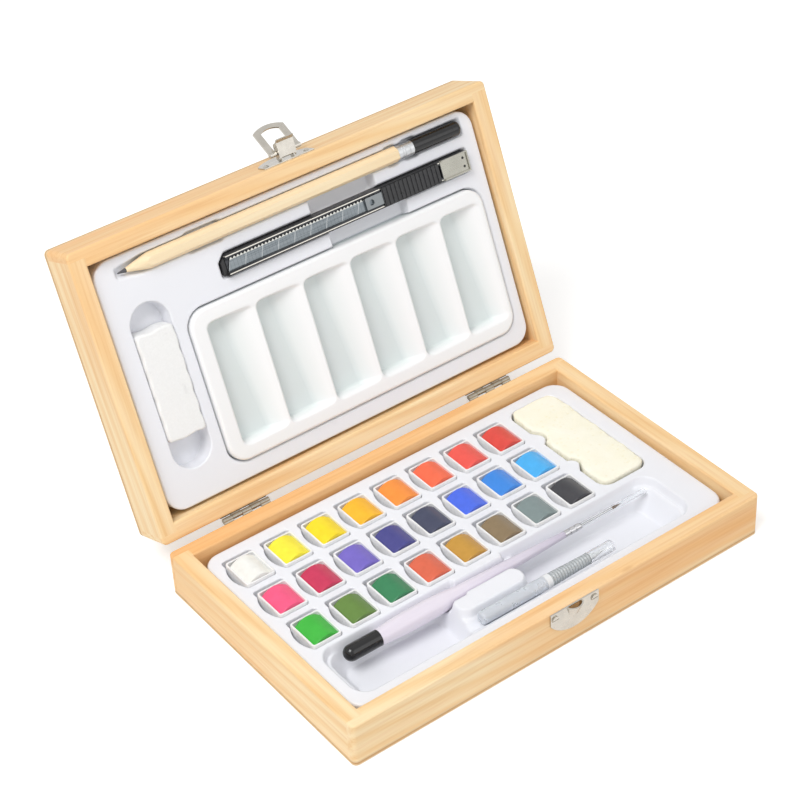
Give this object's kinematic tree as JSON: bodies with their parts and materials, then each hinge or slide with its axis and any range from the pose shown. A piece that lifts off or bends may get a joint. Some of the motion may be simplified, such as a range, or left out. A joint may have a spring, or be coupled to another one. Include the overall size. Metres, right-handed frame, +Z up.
{
  "type": "watercolour paint box",
  "caption": "Hinged pine watercolour box standing open, with half pans, sponge, brushes, palette, eraser, pencil and snap-off knife in white moulded trays, and a steel toggle latch.",
  "frame": {"origin": "centre of the base's underside", "axes": "+X along the length of the box from left to right, +Y from the front to the hinge side, +Z up"},
  "size_m": [0.24, 0.2311, 0.1726],
  "materials": {
    "wood": "satin",
    "plywood": "matte",
    "tray_plastic": "satin",
    "pan_plastic": "gloss",
    "palette_plastic": "gloss",
    "paint_earths": "satin",
    "paint_blues": "satin",
    "paint_reds": "satin",
    "sponge": "matte",
    "black_plastic": "satin",
    "grey_plastic": "satin",
    "clear_plastic": "gloss",
    "brush_lacquer": "gloss",
    "bristle": "matte",
    "eraser_vinyl": "matte",
    "pencil_wood": "satin",
    "graphite": "satin",
    "plated_steel": "polished",
    "blade_steel": "brushed"
  },
  "bodies": {
    "case_base": {"base_front_board": "wood", "base_back_board": "wood", "base_left_board": "wood", "base_right_board": "wood", "base_panel": "plywood", "base_insert": "tray_plastic", "pan_cups_front_row": "pan_plastic", "pan_cups_middle_row": "pan_plastic", "pan_cups_back_row": "pan_plastic", "paint_cakes_front_row": "paint_earths", "paint_cakes_middle_row": "paint_blues", "paint_cakes_back_row": "paint_reds", "sponge": "sponge", "brush_end_cap": "black_plastic", "brush_handle": "brush_lacquer", "brush_ferrule": "plated_steel", "brush_needle_tube": "plated_steel", "brush_bristles": "bristle", "brush_guard_tube": "clear_plastic", "water_brush_barrel": "clear_plastic", "water_brush_collar": "clear_plastic", "water_brush_grip": "grey_plastic", "water_brush_tip": "bristle", "water_brush_cap": "clear_plastic", "catch_plate": "plated_steel", "catch_screws": "plated_steel", "hinge_left_base_leaf": "plated_steel", "hinge_left_pin": "plated_steel", "hinge_right_base_leaf": "plated_steel", "hinge_right_pin": "plated_steel", "hinge_screws_base": "plated_steel"},
    "lid": {"lid_front_board": "wood", "lid_back_board": "wood", "lid_left_board": "wood", "lid_right_board": "wood", "lid_panel": "plywood", "lid_insert": "tray_plastic", "palette": "palette_plastic", "eraser": "eraser_vinyl", "pencil_wood": "pencil_wood", "pencil_lead": "graphite", "pencil_ferrule": "plated_steel", "pencil_cap": "black_plastic", "knife_body": "black_plastic", "knife_channel": "plated_steel", "knife_tail_clip": "plated_steel", "latch_plate": "plated_steel", "latch_rivets": "plated_steel", "latch_lever_pin": "plated_steel", "hinge_left_lid_leaf": "plated_steel", "hinge_right_lid_leaf": "plated_steel", "hinge_screws_lid": "plated_steel"},
    "knife_slider": {"knife_blade": "blade_steel", "knife_slider": "black_plastic"},
    "latch_lever": {"latch_lever": "plated_steel", "latch_loop_pin": "plated_steel"},
    "latch_loop": {"latch_loop": "plated_steel"}
  },
  "joints": [
    {"name": "lid_hinge", "type": "hinge", "parent": "case_base", "child": "lid", "pos_m": [0, 0.07528, 0.02405], "axis": [1, 0, 0], "range_deg": [0, 111.9]},
    {"name": "latch_lever_hinge", "type": "hinge", "parent": "lid", "child": "latch_lever", "pos_m": [0.004, 0.1358, 0.16266], "axis": [-1, 0, 0], "range_deg": [0, 90]},
    {"name": "latch_loop_hinge", "type": "hinge", "parent": "latch_lever", "child": "latch_loop", "pos_m": [0.004, 0.13673, 0.16498], "axis": [1, 0, 0], "range_deg": [0, 226]},
    {"name": "knife_slide", "type": "slide", "parent": "lid", "child": "knife_slider", "axis": [-1, 0, 0], "range_m": [0, 0.04]}
  ],
  "couplings": [
    {"joint": "latch_loop_hinge", "follows": "latch_lever_hinge", "ratio": 2.5111}
  ]
}
